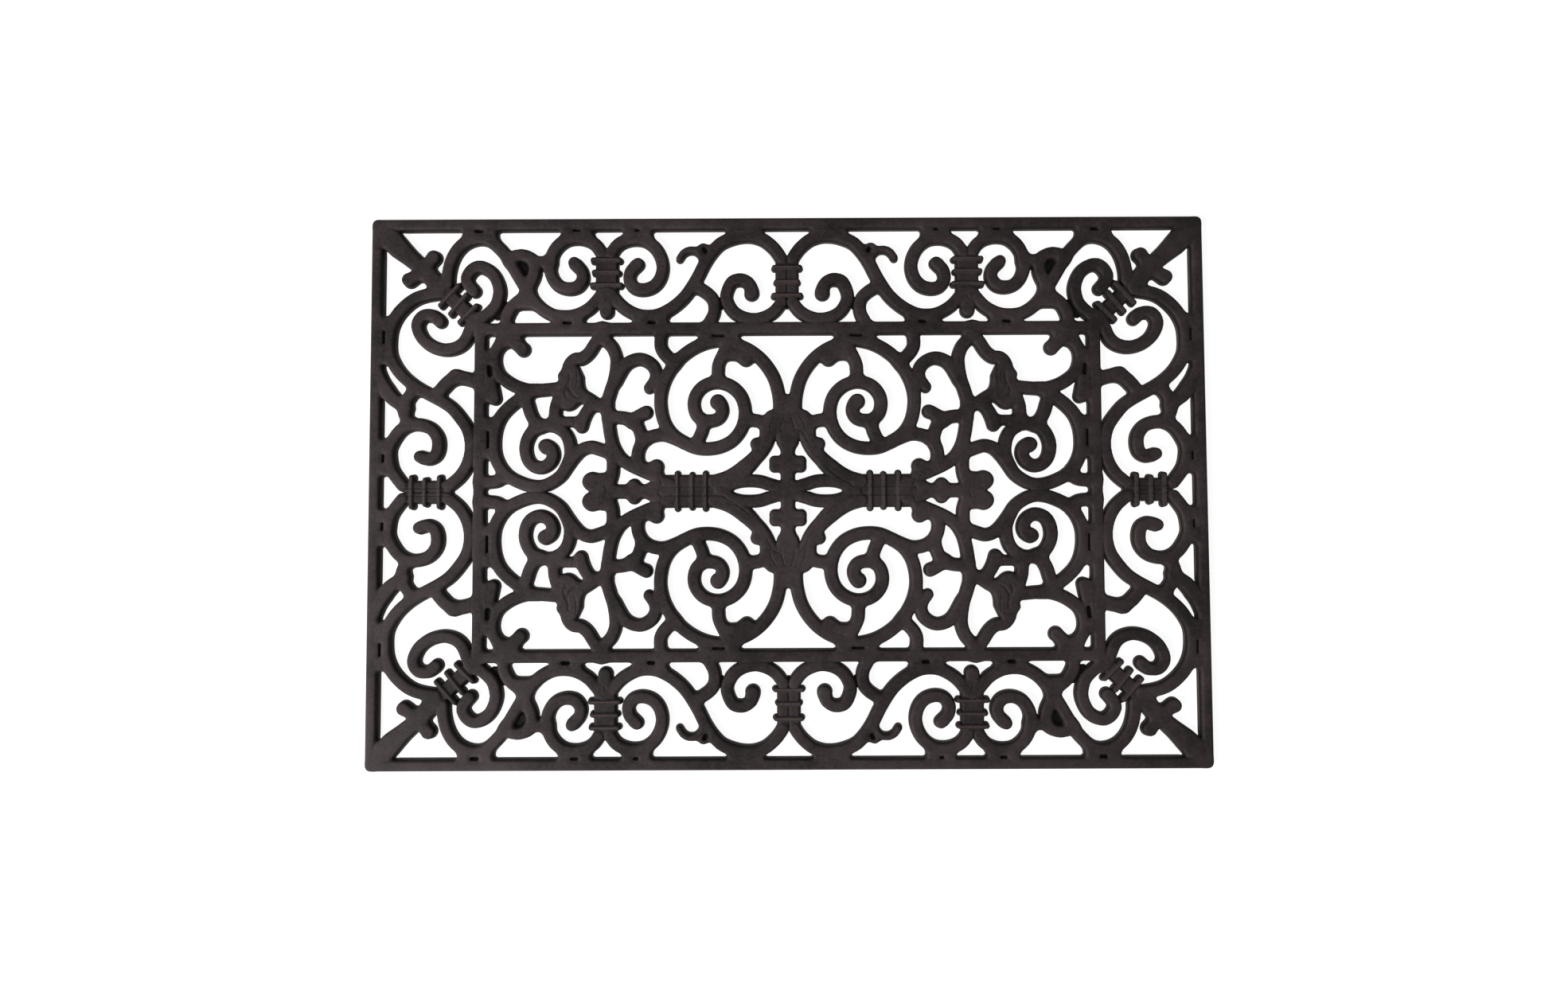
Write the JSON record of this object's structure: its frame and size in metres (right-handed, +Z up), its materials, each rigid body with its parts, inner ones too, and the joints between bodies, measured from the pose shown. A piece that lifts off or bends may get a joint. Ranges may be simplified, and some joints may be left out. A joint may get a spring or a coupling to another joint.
{
  "type": "openwork rubber door mat",
  "caption": "Oblong door mat of moulded rubber: an open grille of flat scrolls, leaves and ringed collars between a plain rim and an inner frame.",
  "frame": {"origin": "middle of the mat's underside, on the floor it lies on", "axes": "+X along the length, +Y across the width, +Z up out of the face that is stepped on"},
  "size_m": [0.914, 0.602, 0.01],
  "materials": {
    "rubber": "dark brown-black moulded rubber, satin, slightly worn on the tops of the bars"
  },
  "bodies": {
    "root": {"arch_scroll_back_left": "rubber", "arch_scroll_back_right": "rubber", "arch_scroll_front_left": "rubber", "arch_scroll_front_right": "rubber", "centre_collar_back": "rubber", "centre_collar_front": "rubber", "centre_cross": "rubber", "corner_collar_back_left": "rubber", "corner_collar_back_right": "rubber", "corner_collar_front_left": "rubber", "corner_collar_front_right": "rubber", "corner_curls_back_left": "rubber", "corner_curls_back_right": "rubber", "corner_curls_front_left": "rubber", "corner_curls_front_right": "rubber", "inner_frame_back": "rubber", "inner_frame_front": "rubber", "inner_frame_left": "rubber", "inner_frame_right": "rubber", "leaf_back_left": "rubber", "leaf_back_right": "rubber", "leaf_front_left": "rubber", "leaf_front_right": "rubber", "long_scroll_back_left": "rubber", "long_scroll_back_right": "rubber", "long_scroll_front_left": "rubber", "long_scroll_front_right": "rubber", "palmette_back_left": "rubber", "palmette_back_right": "rubber", "palmette_front_left": "rubber", "palmette_front_right": "rubber", "rim_back": "rubber", "rim_front": "rubber", "rim_left": "rubber", "rim_right": "rubber", "side_collar_left": "rubber", "side_collar_right": "rubber", "side_curl_back_left": "rubber", "side_curl_back_right": "rubber", "side_curl_front_left": "rubber", "side_curl_front_right": "rubber", "side_scroll_back_left": "rubber", "side_scroll_back_right": "rubber", "side_scroll_front_left": "rubber", "side_scroll_front_right": "rubber", "side_volute_back_left": "rubber", "side_volute_back_right": "rubber", "side_volute_front_left": "rubber", "side_volute_front_right": "rubber", "spindle_left": "rubber", "spindle_right": "rubber", "vine_back_left": "rubber", "vine_back_right": "rubber", "vine_front_left": "rubber", "vine_front_right": "rubber", "volute_back_left": "rubber", "volute_back_right": "rubber", "volute_front_left": "rubber", "volute_front_right": "rubber"}
  },
  "joints": []
}
